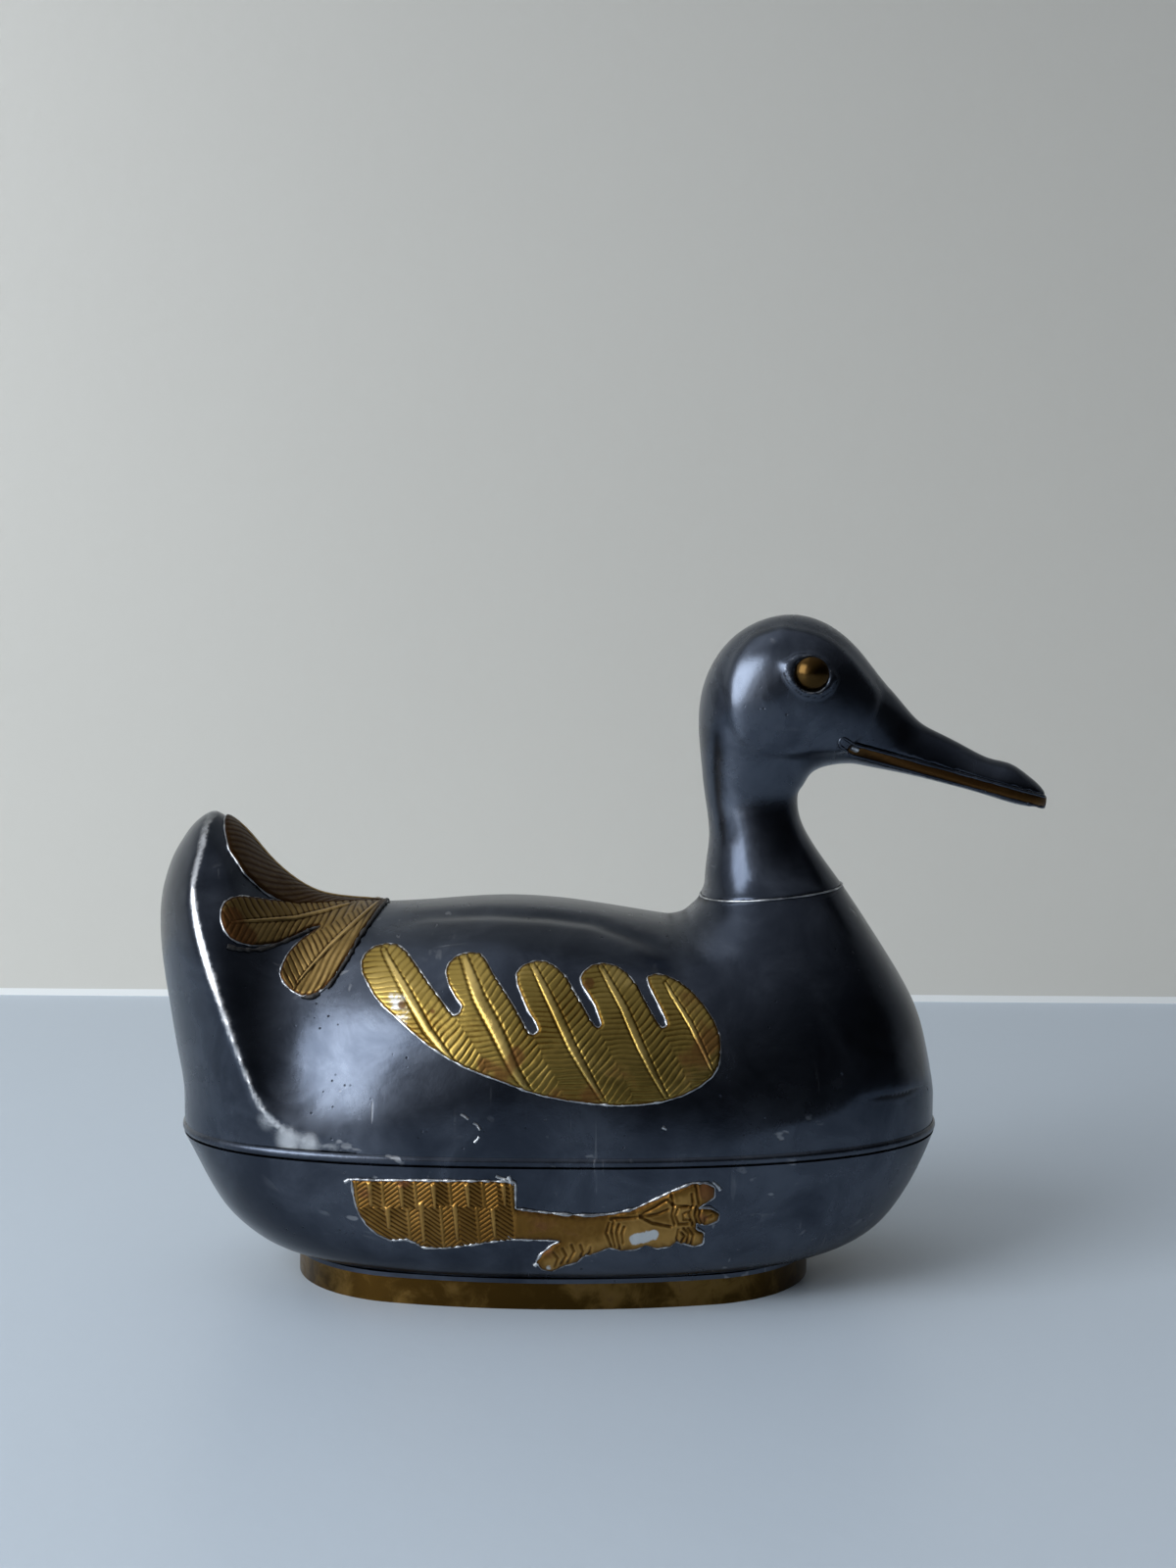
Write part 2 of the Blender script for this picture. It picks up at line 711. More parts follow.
middleSetup = {
    "body": "lid", "finish": "tail", "slot": "wing_brass",
    "origin": (0, 0), "zoom": 1, "step": .00032, "thickness": 1.25, "perMm": .001,
    "rounding": (.0005, 4),
    "half": [
        (-.457, .000), (-.500, .050), (-.600, .120), (-.660, .170), (-.677, .205), (-.705, .225),
        (-.758, .275), (-.810, .304), (-.853, .265), (-.872, .160), (-.879, .080), (-.881, .000)],
    "size": (.1146, .0615),
    "quills": [(.0009, [(-.1006, 0), (-.09, 0), (-.075, 0), (-.0535, 0)])],
    "right": (130, .0017, .16, .17, .06, 0),
    "left": (50, .0017, .16, .17, .06, 0),
    "quillHeight": .35, "depth": .16, "edgeFall": .3,
    "worn": [], "stain": [(-.098, .008, .004, .5), (-.07, -.01, .004, .5)],
}


def makeMiddle(setup):
    half = [(x * setup["size"][0], y * setup["size"][1]) for x, y in setup["half"]]
    loop = [(x, -y) for x, y in half] + half[-2:0:-1]
    outline = outlines["middle"] = rounded(loop, *setup["rounding"])
    makeSheet("middleTailFeather", None, outline, setup, planCast("lid"), feathered)


makePair(wingSetup, seenOutline("right_wing"), feathered)
makePair(tailSetup, tailSetup["outline"], feathered)
makeMiddle(middleSetup)
print("wing and tail feathers made")

legSetup = {
    "name": "LegSheet", "body": "bowl", "nodes": ("right_leg", "left_leg"), "finish": "leg",
    "slot": "leg_brass",
    "step": .8, "thickness": .78, "perMm": 3.7, "rounding": (.9, 2), "edgeFall": .35, "edgeWidth": .4,
    "thigh": {
        "origin": (350, 1195), "zoom": 8.476, "end": 1500, "split": 305,
        "quills": [(240, 75, 300), (510, 105, 310), (790, 95, 320), (1080, 95, 310), (1395, 95, 300),
                   (395, 290, 490), (690, 250, 610), (980, 270, 600), (1305, 300, 570)],
        "upperVeins": [130, 360, 640, 940, 1225, 1470],
        "lowerVeins": [560, 845, 1155, 1475],
        "barb": {"spacing": 40, "slope": .68, "depth": .30, "cut": .17, "wander": .3, "rise": .05,
                 "clear": 8, "vein": 10, "veinCut": .15, "veinRise": .16, "veinHalf": 9},
        "quillHalf": 24, "quillTop": 1.1, "taper": .55, "quillHeight": .55, "lean": .09,
        "waver": (.004, 5.2), "splitWander": 25, "blend": 20, "quillFades": (14, 8),
        "hand": (.008, 9.3), "handDepth": .08, "toneSpan": .7,
    },
    "foot": {
        "origin": (540, 1195), "zoom": 7.649,
        "grooves": [
            [(625, 390), (600, 470), (640, 570)], [(655, 380), (640, 460), (668, 570)],
            [(700, 400), (680, 470), (705, 590)], [(740, 420), (722, 470), (730, 540)],
            [(640, 360), (800, 350), (1000, 320), (1080, 285)], [(860, 330), (980, 270), (1070, 215)],
            [(870, 345), (960, 390), (1100, 415)], [(1085, 215), (1125, 260), (1110, 330), (1130, 400)],
            [(1110, 180), (1120, 250), (1270, 262)], [(1265, 165), (1275, 250)],
            [(1300, 110), (1318, 240)], [(1235, 262), (1160, 270), (1135, 330), (1160, 395), (1235, 390)],
            [(1240, 300), (1195, 320), (1200, 360), (1245, 365)], [(1262, 265), (1245, 330), (1270, 400)],
            [(1300, 260), (1290, 330), (1310, 405)], [(1335, 285), (1320, 340), (1345, 405)],
            [(1420, 330), (1370, 350), (1360, 395)], [(1160, 440), (1145, 510), (1165, 580)],
            [(1200, 430), (1240, 470), (1225, 540), (1180, 580)],
            [(1235, 430), (1275, 480), (1255, 550), (1215, 585)], [(1180, 460), (1212, 490), (1180, 540)],
            [(400, 560), (420, 610), (400, 650)], [(330, 560), (350, 610), (300, 690)],
            [(260, 590), (290, 640), (250, 700)], [(190, 620), (225, 660), (200, 720)],
            [(480, 575), (470, 620), (440, 640)],
        ],
        "pads": [(820, 500, 120, .25), (930, 560, 90, .22), (1090, 510, 80, .28), (1195, 215, 60, .25),
                 (1380, 180, 60, .25), (1190, 330, 60, .25), (1400, 350, 70, .25),
                 (1310, 520, 60, .25), (680, 540, 80, .15), (450, 600, 60, .2), (330, 640, 60, .25),
                 (170, 700, 80, .25), (540, 560, 80, .15)],
        "grooveDepth": .30, "grooveHalf": 9, "burr": .10, "bulge": .35, "bulgeWidth": 2.2,
        "bulgeRound": .6, "burrAt": 2.2, "hand": (.03, 2.2), "handDepth": .07, "toneSpan": .6,
    },
    "worn": [(646, 1262, 6, .9), (656, 1260, 7, 1), (667, 1257, 6, .8), (560, 1290, 5, .5)],
    "stain": [(720, 1215, 9, .9), (560, 1275, 9, .5), (412, 1205, 5, .8), (590, 1250, 20, .25),
              (548, 1245, 22, .35), (718, 1240, 7, .6), (372, 1215, 8, .3)],
}


def legRelief(setup, outline, flat):
    # rows of short feathers on the thigh, cut lines and soft pads on the foot
    thigh, foot, barb = setup["thigh"], setup["foot"], setup["thigh"]["barb"]
    p = (flat - thigh["origin"]) * thigh["zoom"]
    waver = wobble(p, *thigh["waver"])
    upper = p[:, 1] < thigh["split"] + thigh["splitWander"] * waver
    height = np.zeros(len(p))
    for veins, here in ((thigh["upperVeins"], upper), (thigh["lowerVeins"], ~upper)):
        away = np.min([np.abs(p[:, 0] - v - thigh["lean"] * (p[:, 1] - thigh["split"]))
                       for v in veins], axis=0)
        phase = (p[:, 1] + barb["slope"] * away) / barb["spacing"] + barb["wander"] * waver
        cut = cuts(phase, barb["cut"])[0]
        cut = cut * np.clip(away / barb["clear"] - 1, 0, 1) + barb["veinCut"] * (away < barb["vein"])
        height[here] = (barb["rise"] - barb["depth"] * cut
                        + barb["veinRise"] * bell(away, barb["veinHalf"]))[here]
    quill = np.zeros(len(p))
    topFade, lowFade = thigh["quillFades"]
    for x, top, bottom in thigh["quills"]:
        share = (p[:, 1] - top) / (bottom - top)
        centre = x + thigh["lean"] * (p[:, 1] - (top + bottom) / 2)
        half = thigh["quillHalf"] * (thigh["quillTop"] - thigh["taper"] * np.clip(share, 0, 1))
        body = np.clip(1 - ((p[:, 0] - centre) / half) ** 2, 0, 1) ** chasing["quillRound"]
        body *= np.clip(share * topFade, 0, 1) * np.clip((1 - share) * lowFade, 0, 1)
        quill = np.maximum(quill, body)
    height = height * (1 - quill) + thigh["quillHeight"] * quill
    q = (flat - foot["origin"]) * foot["zoom"]
    inThigh = np.clip((thigh["end"] - p[:, 0]) / thigh["blend"], 0, 1)
    edge = edgeDistance(flat, outline) / setup["perMm"]
    plain = foot["bulge"] * np.clip(edge / foot["bulgeWidth"], 0, 1) ** foot["bulgeRound"]
    plain += foot["handDepth"] * wobble(q, *foot["hand"])
    for x, y, radius, rise in foot["pads"]:
        plain += rise * bell(np.linalg.norm(q - [x, y], axis=1), radius)
    for line in foot["grooves"]:
        away = np.abs(nearLine(q, line)[0])
        plain -= foot["grooveDepth"] * bell(away, foot["grooveHalf"])
        plain += foot["burr"] * bell(away - foot["burrAt"] * foot["grooveHalf"], foot["grooveHalf"])
    height = height * inThigh + plain * (1 - inThigh)
    height += thigh["handDepth"] * wobble(p, *thigh["hand"])
    height -= setup["edgeFall"] * bell(edge, setup["edgeWidth"])
    tone = np.clip(.5 + height / thigh["toneSpan"], 0, 1) * inThigh
    tone += np.clip(plain / foot["toneSpan"], 0, 1) * (1 - inThigh)
    return height, {"relief": tone, "worn": spotMarks(flat, setup["worn"]),
                    "stain": spotMarks(flat, setup["stain"])}


makePair(legSetup, seenOutline("right_leg"), legRelief)
print("legs made")


def evaluated(obj):
    bpy.context.view_layer.update()
    live = obj.evaluated_get(bpy.context.evaluated_depsgraph_get())
    return bpy.data.meshes.new_from_object(live)


# Solder and smut lines are tubes of uneven radius that follow a line


def tubeTree(name):
    tree = bpy.data.node_groups.new(name, "GeometryNodeTree")
    face, f = tree.interface, Maker(tree)
    for label, kind in (("Geometry", "Geometry"), ("Radius", "Float"), ("Unevenness", "Float"),
                        ("Lumps", "Float"), ("Seed", "Float"), ("Finish", "Material")):
        face.new_socket(label, in_out="INPUT", socket_type="NodeSocket" + kind)
    face.new_socket("Geometry", in_out="OUTPUT", socket_type="NodeSocketGeometry")
    start = tree.nodes.new("NodeGroupInput")
    given = {socket.name: Wire(f, socket) for socket in start.outputs}
    curve = f.node("GeometryNodeMeshToCurve", {0: given["Geometry"]})
    lumps = f.node("ShaderNodeTexNoise", {"Scale": given["Lumps"], "W": given["Seed"]},
                   noise_dimensions="4D")
    spread = f.node("ShaderNodeMapRange", {0: lumps, 1: .3, 2: .7, 3: 1 - given["Unevenness"],
                                           4: given["Unevenness"] + 1})
    ring = f.node("GeometryNodeCurvePrimitiveCircle", {"Resolution": 8, "Radius": 1})
    tube = f.node("GeometryNodeCurveToMesh", {"Curve": curve, "Profile Curve": ring, "Fill Caps": True,
                                              "Scale": spread * given["Radius"]})
    smooth = f.node("GeometryNodeSetShadeSmooth", {0: tube})
    real = f.node("GeometryNodeRealizeInstances", {0: smooth})
    paint = f.node("GeometryNodeSetMaterial", {0: real, "Material": given["Finish"]})
    f.feed(tree.nodes.new("NodeGroupOutput").inputs[0], paint)
    return tree


tubes = tubeTree("unevenTube")


def makeTube(name, body, lines, values, closed, bothSides):
    points, edges = [], []
    for side in ((1, -1) if bothSides else (1,)):
        for line in lines:
            start = len(points)
            points += [(x, y * side, z) for x, y, z in line]
            edges += [(start + k, start + k + 1) for k in range(len(line) - 1)]
            if closed:
                edges.append((start + len(line) - 1, start))
    mesh = bpy.data.meshes.new(name + "Line")
    mesh.from_pydata(points, edges, [])
    guide = placed(name + "Line", mesh)
    modifier = guide.modifiers.new("tube", "NODES")
    modifier.node_group = tubes
    for item in tubes.interface.items_tree:
        if item.in_out == "INPUT" and item.name in values:
            modifier[item.identifier] = values[item.name]
    made = evaluated(guide)
    bpy.data.objects.remove(guide)
    made.name = name
    bm = bmesh.new()
    bm.from_mesh(made)
    bmesh.ops.recalc_face_normals(bm, faces=bm.faces)
    bm.to_mesh(made)
    bm.free()
    settle(placed(name, made), body, "pewter")


def onSeat(flat, seat, rise):
    # picture or plan points on a seat, lifted along its evened normals
    points, normals = seat(np.asarray(flat, float))
    for _ in range(3):
        normals = normals + .5 * np.roll(normals, 1, 0) + .5 * np.roll(normals, -1, 0)
        normals /= np.linalg.norm(normals, axis=1)[:, None]
    return points + normals * rise * mm


# Body, finish, radius, unevenness, lumps, seed, rise, step along the line, closed, both sides
seamSetup = {
    "wingSolder": ("lid", "solder", .42, .45, 420, 3, .22, 1.6, True, True),
    "tailSolder": ("lid", "solder", .36, .7, 380, 5, .15, 1.6, True, True),
    "middleTailSolder": ("lid", "solder", .36, .7, 380, 5, .15, .0005, True, False),
    "legSolder": ("bowl", "solder", .40, .6, 420, 8, .2, 1.6, True, True),
    "legLumps": ("bowl", "solder", .62, .5, 520, 9, -.08, 1.6, False, True),
    "flankDrips": ("lid", "solder", .42, .5, 520, 9, 0, 1.2, False, True),
    "billEdge": ("lid", "pewter", .50, .35, 260, 6, -.02, 1.6, True, True),
    "billCorner": ("lid", "solder", .85, .35, 260, 6, 0, 1.6, False, True),
    "neckSolder": ("lid", "solder", .30, .35, 260, 4, .10, None, True, False),
    "tailSmut": ("lid", "smut", .55, .6, 500, 2, .3, 1.6, False, True),
}
neckSetup = {"middle": .068, "reach": .036, "reachAhead": .012, "drop": .0002, "count": 90}
billTip = .85
legLumps = [
    [(506, 1200), (513, 1203), (520, 1206)], [(519, 1200), (522, 1208), (523, 1217)],
    [(352, 1206), (356, 1204), (361, 1204)], [(727, 1206), (731, 1209), (735, 1214)],
    [(546, 1291), (552, 1286), (558, 1280)], [(519, 1260), (521, 1263), (524, 1264)],
]
flankDrips = [
    [(470, 1137), (474, 1139), (478, 1142)], [(483, 1146), (487, 1148), (490, 1153)],
    [(489, 1160), (487, 1163), (484, 1166)], [(676, 1150), (680, 1153)],
]
billCorner = [[(868, 762), (871, 763), (875, 765)]]
tailSmut = [
    [(232, 966), (243, 969), (256, 970), (272, 968), (288, 962), (305, 955), (318, 949), (327, 946)],
    [(396, 919), (388, 928), (380, 939), (369, 954), (356, 977), (342, 999), (334, 1009)],
    [(308, 1018), (318, 1018), (326, 1014)],
]


def neckRing(look, rise):
    # the seam round the neck, found by rays from outside towards its middle
    ahead = look["middle"] - neckPlane["place"].x
    centre = Vector((look["middle"], 0, neckPlane["place"].z + ahead * math.tan(neckPlane["tilt"])))
    ring = []
    for turn in np.linspace(0, 2 * math.pi, look["count"], endpoint=False):
        out = Vector((math.cos(turn), math.sin(turn), 0))
        out = (out - neckUp * out.dot(neckUp)).normalized()
        reach = look["reach"] + look["reachAhead"] * math.cos(turn)
        hit = seats["lid"].ray_cast(centre + out * reach - neckUp * look["drop"], -out)[0]
        ring.append(hit + out * rise * mm)
    return ring


def makeSeams(setup):
    lid, bowl, bill = photoCast("lid"), photoCast("bowl"), photoCast("bill")
    drawn = {
        "wingSolder": ([outlines["wing"]], lid), "tailSolder": ([outlines["tail"]], lid),
        "middleTailSolder": ([outlines["middle"]], planCast("lid")),
        "legSolder": ([outlines["leg"]], bowl), "legLumps": (legLumps, bowl),
        "flankDrips": (flankDrips, lid), "billEdge": ([seenOutline("bill_plate")], bill),
        "billCorner": (billCorner, bill), "neckSolder": ([], None), "tailSmut": (tailSmut, lid)}
    for name, row in setup.items():
        body, finish, radius, uneven, lumps, seed, rise, step, closed, bothSides = row
        flat, seat = drawn[name]
        lines = [onSeat(evenly(line, step, closed), seat, rise) for line in flat]
        if name == "billEdge":
            lines[0][:, 0] = np.minimum(lines[0][:, 0], cadBox[1].x - billTip * mm)
        values = {"Radius": radius * mm, "Unevenness": uneven, "Lumps": lumps, "Seed": seed,
                  "Finish": finishes[finish]}
        makeTube(name, body, lines or [neckRing(neckSetup, rise)], values, closed, bothSides)


makeSeams(seamSetup)
print("solder lines made")

# Pewter shells with softened edges, made from the outer skins of the CAD shells

shellSetup = {
    "lid": {"node": "lid_shell", "name": "pewterLid", "voxel": 1.28, "rounds": 7, "soften": (.03, .14),
            "frontFit": 5, "frontFrom": .03, "wall": 1.5,
            "trough": {"line": [(392, 944), (440, 934), (500, 931), (560, 934), (605, 940), (662, 962),
                                (706, 1000)],
                       "step": 8, "ends": .15, "width": 4.2, "depth": 1.1}},
    "head": {"node": "neck_and_head", "name": "pewterHead", "voxel": .61, "rounds": 6,
             "soften": (.02, .10), "frontFit": 1, "frontFrom": 1, "wall": 0,
             "calm": {"low": .155, "front": .100, "margin": .004, "mouth": (.083, .168), "eye": 10.5,
                      "bent": .02, "keep": .3, "reach": 2.2, "rounds": 26}},
}
skinSetup = {"weld": 2e-6, "onPlane": 3e-5, "rimOnPlane": 6e-5, "cap": .006, "neckFrom": .03,
             "smooth": .5, "lastSmooth": .35, "lastRounds": 2}
tailRidge = [
    (-104.3, 8.4, 139.4), (-104.7, 24.4, 128), (-106, 28.8, 123.9), (-105, 33.1, 117.5),
    (-102.8, 38.6, 108), (-98, 44.3, 95.2), (-95, 47.4, 88.9), (-89.2, 50.8, 76),
    (-84.5, 52.9, 62.8), (-76.5, 53.8, 52.2), (-62.5, 53.9, 49.5)]
# Blooms are x, y, radius and strength, with x and y in the picture; patches are x, y, z, radius
# and strength
wornSetup = {
    "ridge": [.06, .14, .20, .25, .27, .25, .27, .34, .44, .46, .20],
    "ridgeWidth": .9,
    "edge": {"from": .03, "gain": 2.2, "most": .45, "behind": .03},
    "smutGain": 3.0,
    "blooms": [(404, 1090, 7, .24), (424, 1100, 6, .18), (396, 1112, 5, .12), (330, 1078, 8, .15),
               (356, 1122, 8, .13), (312, 1112, 6, .08)],
    "patches": [(-83, 54, 56, 4.6, .6), (-76, 54.5, 51, 5.2, .8), (-70, 54.5, 50.5, 5, .62),
                (-62, 55, 50, 4, .35), (-52, 56, 49, 4, .25)],
}


def smoothed(bm, verts, factor, rounds):
    for _ in range(rounds):
        bmesh.ops.smooth_vert(bm, verts=verts, factor=factor, use_axis_x=True, use_axis_y=True,
                              use_axis_z=True)


def largestPart(bm):
    parts, seen = [], set()
    for vert in bm.verts:
        if vert not in seen:
            part, stack = {vert}, [vert]
            while stack:
                here = stack.pop()
                fresh = {edge.other_vert(here) for edge in here.link_edges} - part
                part |= fresh
                stack += fresh
            parts.append(part)
            seen |= part
    return max(parts, key=lambda part: max(v.co.x for v in part) - min(v.co.x for v in part))


def outerSkin(label, planes):
    # the CAD shell's outer skin, its openings lengthened and closed by a cap
    s = skinSetup
    bm = bmesh.new()
    bm.from_mesh(nodes[label].data)
    bmesh.ops.remove_doubles(bm, verts=bm.verts, dist=s["weld"])
    flat = [f for f in bm.faces
            if any(all(abs((v.co - place).dot(out)) < s["onPlane"] for v in f.verts)
                   for place, out in planes)]
    bmesh.ops.delete(bm, geom=flat, context="FACES")
    kept = largestPart(bm)
    bmesh.ops.delete(bm, geom=[v for v in bm.verts if v not in kept], context="VERTS")
    for place, out in planes:
        rim = [e for e in bm.edges if e.is_boundary
               and all(abs((v.co - place).dot(out)) < s["rimOnPlane"] for v in e.verts)]
        made = bmesh.ops.extrude_edge_only(bm, edges=rim)["geom"]
        moved = [g for g in made if isinstance(g, bmesh.types.BMVert)]
        bmesh.ops.translate(bm, verts=moved, vec=out * s["cap"])
        ends = [g for g in made if isinstance(g, bmesh.types.BMEdge) and g.is_boundary]
        bmesh.ops.triangle_fill(bm, edges=ends, use_beauty=True)
    bmesh.ops.recalc_face_normals(bm, faces=bm.faces)
    return bm


def nearChain(points, line, width):
    # 1 on a line of (point, strength) pairs, times its strength, fading over the width
    total = np.zeros(len(points))
    for (a, strengthA), (b, strengthB) in zip(line, line[1:]):
        t, offset = fromSegment(points, a, b)
        strength = strengthA + (strengthB - strengthA) * t
        total = np.maximum(total, strength * bell(np.linalg.norm(offset, axis=1), width))
    return total


def pressTrough(bm, trough):
    # the hollow between the raised shoulder of the wing and the middle of the back
    flat = evenly(trough["line"], trough["step"], closed=False)
    line = onSeat(flat, photoCast("lid"), 0) * [1, -1, 1]
    share = np.sin(np.linspace(trough["ends"], math.pi - trough["ends"], len(line)))
    points = np.array([(v.co.x, abs(v.co.y), v.co.z) for v in bm.verts])
    depth = nearChain(points, list(zip(line, share)), trough["width"] * mm) * trough["depth"] * mm
    bm.normal_update()
    for vert, value in zip(bm.verts, depth):
        if value > 1e-6:
            vert.co -= vert.normal * value


def calmCheek(bm, calm, bend):
    # the cheek's step is worn soft, apart from the eyelid and the mouth
    eye = sum(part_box("right_eye"), Vector()) / 2
    x, z = calm["mouth"]
    edge = [v for v in bm.verts
            if abs(v[bend]) > calm["bent"] and calm["low"] < v.co.z and v.co.x < calm["front"]
            and (v.co.x < x or v.co.z > z)
            and (Vector((v.co.x, -abs(v.co.y), v.co.z)) - eye).length > calm["eye"] * mm]
    tree = KDTree(len(edge))
    for k, vert in enumerate(edge):
        tree.insert(vert.co, k)
    tree.balance()
    near = [v for v in bm.verts
            if v.co.z > calm["low"] - calm["margin"] and v.co.x < calm["front"] + calm["margin"]
            and tree.find(v.co)[2] < calm["reach"] * mm]
    smoothed(bm, near, skinSetup["smooth"], calm["rounds"])
    for vert in near:
        vert[bend] *= calm["keep"]


def softShell(setup, planes):
    # remeshed in even cells and smoothed; only where that bends an edge does it leave the CAD skin
    s = skinSetup
    bm = outerSkin(setup["node"], planes)
    surface = BVHTree.FromBMesh(bm)
    mesh = bpy.data.meshes.new(setup["name"])
    bm.to_mesh(mesh)
    bm.free()
    obj = placed(setup["name"], mesh)
    remesh = obj.modifiers.new("remesh", "REMESH")
    remesh.mode = "VOXEL"
    remesh.voxel_size = setup["voxel"] * mm
    made = obj.data = evaluated(obj)
    obj.modifiers.remove(remesh)
    made.name = setup["name"]
    bm = bmesh.new()
    bm.from_mesh(made)
    smoothed(bm, bm.verts, s["smooth"], setup["rounds"])
    low, high = setup["soften"]
    bent = []
    for vert in bm.verts:
        place, _, _, away = surface.find_nearest(vert.co)
        bent.append(-(vert.co - place).dot(vert.normal) / mm)
        calmer = setup["frontFit"] if vert.co.x > setup["frontFrom"] else 1
        share = min(1.0, max(0.0, (away / mm / calmer - low) / (high - low)))
        vert.co = place.lerp(vert.co, share * share * (3 - 2 * share))
    bend = bm.verts.layers.float.new("bend")
    for vert, value in zip(bm.verts, bent):
        vert[bend] = value
    smoothed(bm, bm.verts, s["lastSmooth"], s["lastRounds"])
    if "trough" in setup:
        pressTrough(bm, setup["trough"])
    if "calm" in setup:
        calmCheek(bm, setup["calm"], bend)
    for place, out in planes:
        whole = bm.verts[:] + bm.edges[:] + bm.faces[:]
        bmesh.ops.bisect_plane(bm, geom=whole, plane_co=place, plane_no=out, dist=1e-6)
        level = abs(out.z) > .999
        gone = [v for v in bm.verts
                if (v.co - place).dot(out) > 2e-6 and (level or v.co.x > s["neckFrom"])]
        bmesh.ops.delete(bm, geom=gone, context="VERTS")
    if not setup["wall"]:
        bmesh.ops.holes_fill(bm, edges=[e for e in bm.edges if e.is_boundary])
    bmesh.ops.recalc_face_normals(bm, faces=bm.faces)
    bm.to_mesh(made)
    bm.free()
    made.polygons.foreach_set("use_smooth", [True] * len(made.polygons))
    if setup["wall"]:
        wall = obj.modifiers.new("wall", "SOLIDIFY")
        wall.thickness = setup["wall"] * mm
        wall.offset = -1
        obj.data = evaluated(obj)
        obj.modifiers.remove(wall)
        obj.data.name = setup["name"] + "Mesh"
    return obj


def wear(obj, edgeShown, worn):
    # marks the worn ridge, edges, patches and blooms, the same on both sides
    points = np.array([v.co[:] for v in obj.data.vertices])
    sided = points * [1, 0, 1] + np.abs(points) * [0, 1, 0]
    bend = np.zeros(len(points))
    obj.data.attributes["bend"].data.foreach_get("value", bend)
    edge = np.clip((bend - worn["edge"]["from"]) * worn["edge"]["gain"], 0, worn["edge"]["most"])
    line = [(np.array(p) * mm, strength) for p, strength in zip(tailRidge, worn["ridge"])]
    total = edge * edgeShown(points) + nearChain(sided, line, worn["ridgeWidth"] * mm)
    spots = [(np.array(spot[:3]) * mm, *spot[3:]) for spot in worn["patches"]]
    for px, py, radius, strength in worn["blooms"]:
        place = photoCast("lid")(np.array([[px, py]], float))[0][0] * [1, -1, 1]
        spots.append((place, radius, strength))
    for place, radius, strength in spots:
        away = np.linalg.norm(sided - place, axis=1)
        total = np.maximum(total, strength * bell(away, radius * mm))
    setAttribute(obj, "worn", np.clip(total, 0, 1))
    setAttribute(obj, "smut", np.clip(-bend * worn["smutGain"], 0, 1))
    dress(obj, "pewter")
    print(obj.name, "faces:", len(obj.data.polygons))


def makeShells(setup, worn):
    bottom = (Vector((0, 0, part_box("lid_shell")[0].z)), down)
    lid = softShell(setup["lid"], [bottom, (neckPlane["place"], neckUp)])
    settle(lid, "lid", "pewter", "lid_shell")
    head = softShell(setup["head"], [(neckPlane["place"], -neckUp)])
    settle(head, "lid", "pewter", "neck_and_head")
    wear(lid, lambda points: points[:, 0] < worn["edge"]["behind"], worn)
    wear(head, lambda points: 1, worn)


makeShells(shellSetup, wornSetup)
print("pewter shells made")

stageLooks = {
    "floorColour": rgb(.495, .565, .645),
    "wallColour": rgb(.60, .585, .54),
    "edgeColour": rgb(.80, .81, .80),
    "gradeColour": rgb(.30, .295, .28),
    "roughness": .42,
    "darker": .93,
    "wallDistance": .457,
    "wallHeight": 3.0,
    "floorReach": 3.0,
    "edgeHeight": .0035,
    "edgeGap": .004,
    "gradeHeight": .52,
    "grade": .50,
}


def seeThroughBack(f):
    # a camera that stands behind the wall looks through it
    side = f.node("ShaderNodeNewGeometry", {}, out="Backfacing")
    clear = f.node("ShaderNodeBsdfTransparent", {})
    mix = f.node("ShaderNodeMixShader", {0: side, 1: Wire(f, f.shader.outputs[0]), 2: clear})
    f.feed(f.tree.nodes["Material Output"].inputs["Surface"], mix)


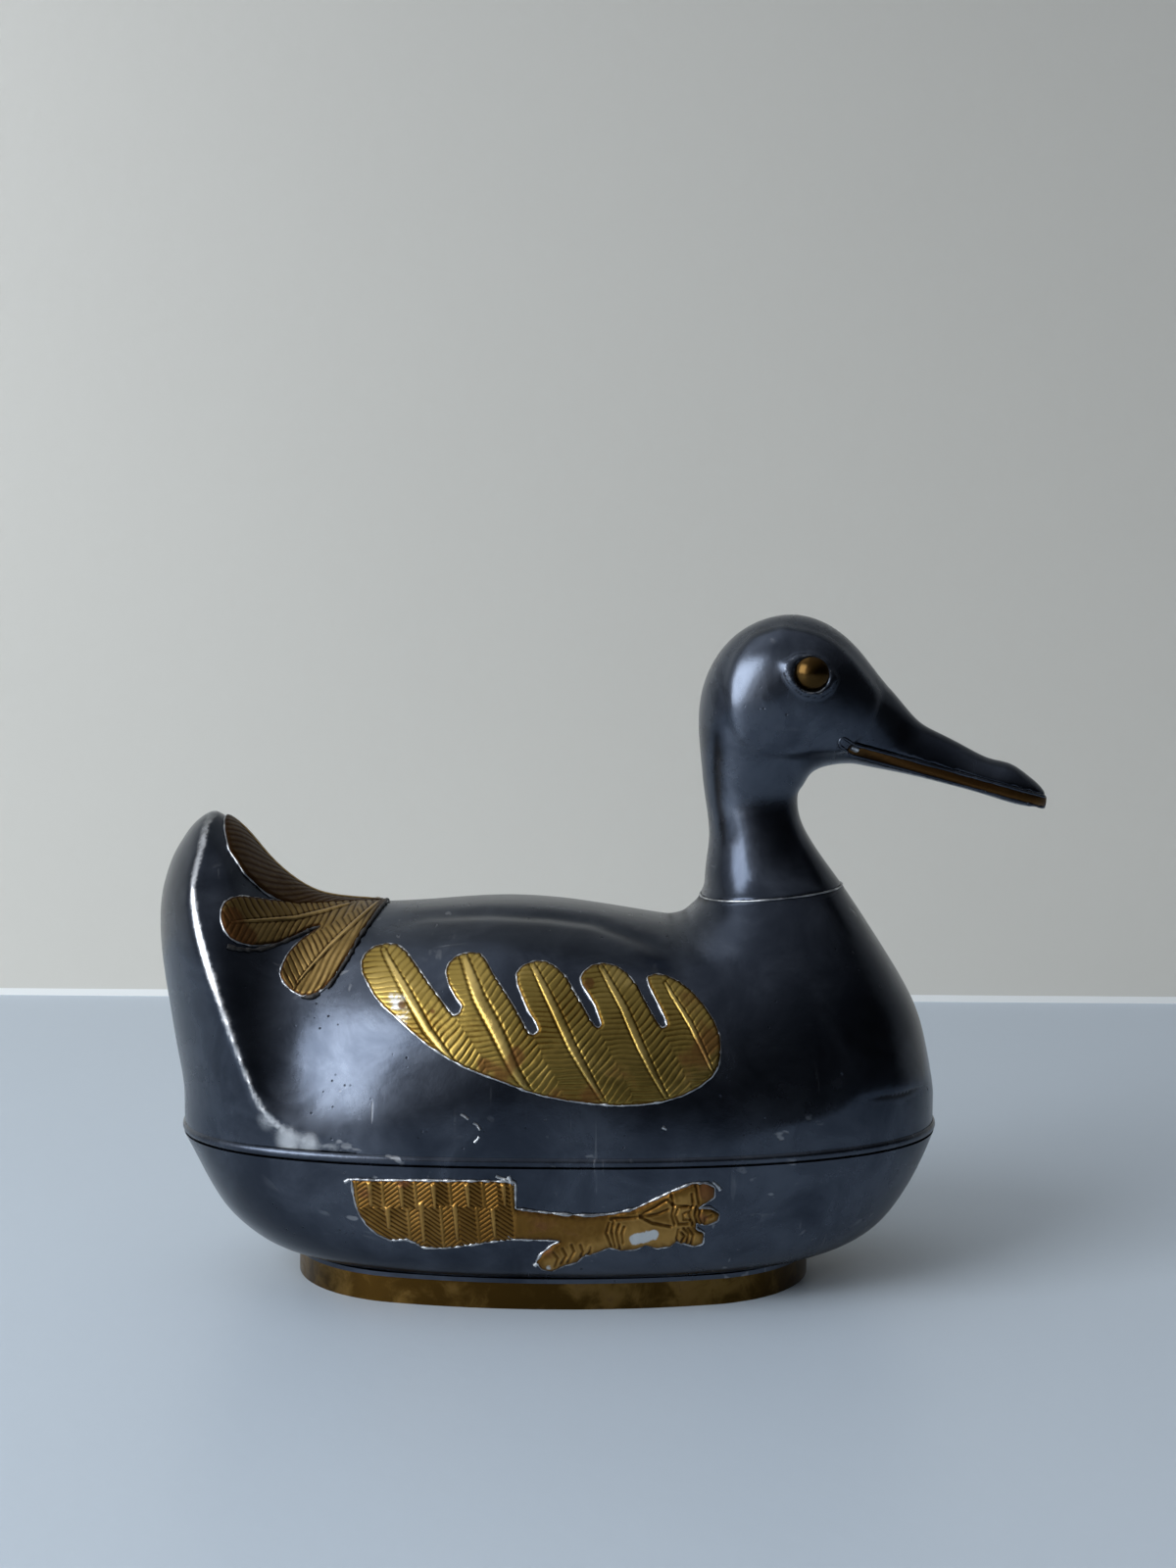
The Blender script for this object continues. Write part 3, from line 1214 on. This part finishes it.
def makeStage(looks):
    reach, far, top = looks["floorReach"], looks["wallDistance"], looks["wallHeight"]
    near, low, middle = far - looks["edgeGap"], looks["edgeHeight"], looks["gradeHeight"]
    profiles = {"floor": [(-reach, 0), (far, 0)], "wall": [(far, 0), (far, middle), (far, top)],
                "edge": [(near, 0), (near, low)]}
    for label, profile in profiles.items():
        corners = [(x, y, z) for y, z in profile for x in (-reach, reach)]
        faces = [(k, k + 1, k + 3, k + 2) for k in range(0, len(corners) - 2, 2)]
        mesh = bpy.data.meshes.new(label)
        mesh.from_pydata(corners, [], faces)
        obj = placed(label, mesh)
        setAttribute(obj, "grade", [label == "wall" and z >= middle for x, y, z in corners])
        f = Finish(label + "Paint", metallic=0.0)
        colour = looks[label + "Colour"]
        darker = (*(looks["darker"] * c for c in colour[:3]), 1.0)
        body = f.mix(f.spots(3, 4, .6), colour, darker)
        body = f.mix(f.attribute("grade") * looks["grade"], body, looks["gradeColour"])
        mesh.materials.append(f.wire(colour=body, roughness=looks["roughness"],
                                     normal=f.bump(f.spots(140, 3), .0004, .25)))
        if label != "floor":
            seeThroughBack(f)


makeStage(stageLooks)

# Place, the point it looks at, size, power and colour
lightSetup = {
    "window": ((-1.27, -1.04, .88), (0, 0, .08), (1.15, 1.30), 37, (.93, .97, 1.0)),
    "low": ((-1.05, -1.60, .36), (0, 0, .07), (1.0, .30), 1.5, (.96, .98, 1.0)),
    "front": ((-.9, -2.2, 1.1), (0, 0, .10), (1.2, 1.0), 1.5, (1.0, .98, .95)),
    "top": ((-.6, .1, 1.6), (-.1, 0, .1), (1.2, 1.0), 3, (.95, .98, 1.0)),
}
# The room is pale to the left and above, and dark to the right and behind the camera
roomLooks = {"left": 1.0, "back": .35, "span": (-.6, 1.3), "strength": (.025, .62),
             "colour": rgb(.84, .88, .95)}


def makeLights(setup):
    for label, (place, aim, size, power, colour) in setup.items():
        data = bpy.data.lights.new(label, "AREA")
        data.shape = "RECTANGLE"
        data.size, data.size_y = size
        data.energy = power
        data.color = colour
        obj = placed(label, data)
        obj.location = place
        obj.rotation_euler = (Vector(aim) - Vector(place)).to_track_quat("-Z", "Y").to_euler()


def makeRoom(looks):
    world = scene.world = bpy.data.worlds.new("softRoom")
    world.use_nodes = True
    f = Maker(world.node_tree)
    place = f.node("ShaderNodeTexCoord", {}, out="Generated")
    x, y, z = (f.node("ShaderNodeSeparateXYZ", {0: place}, out=axis) for axis in "XYZ")
    strength = (z + y * looks["back"] - x * looks["left"]).between(*looks["span"], *looks["strength"])
    shader = f.tree.nodes["Background"]
    f.feed(shader.inputs["Strength"], strength)
    f.feed(shader.inputs["Color"], looks["colour"])


makeLights(lightSetup)
makeRoom(roomLooks)
scene.view_settings.view_transform = "Standard"
print("floor, wall and lights made")
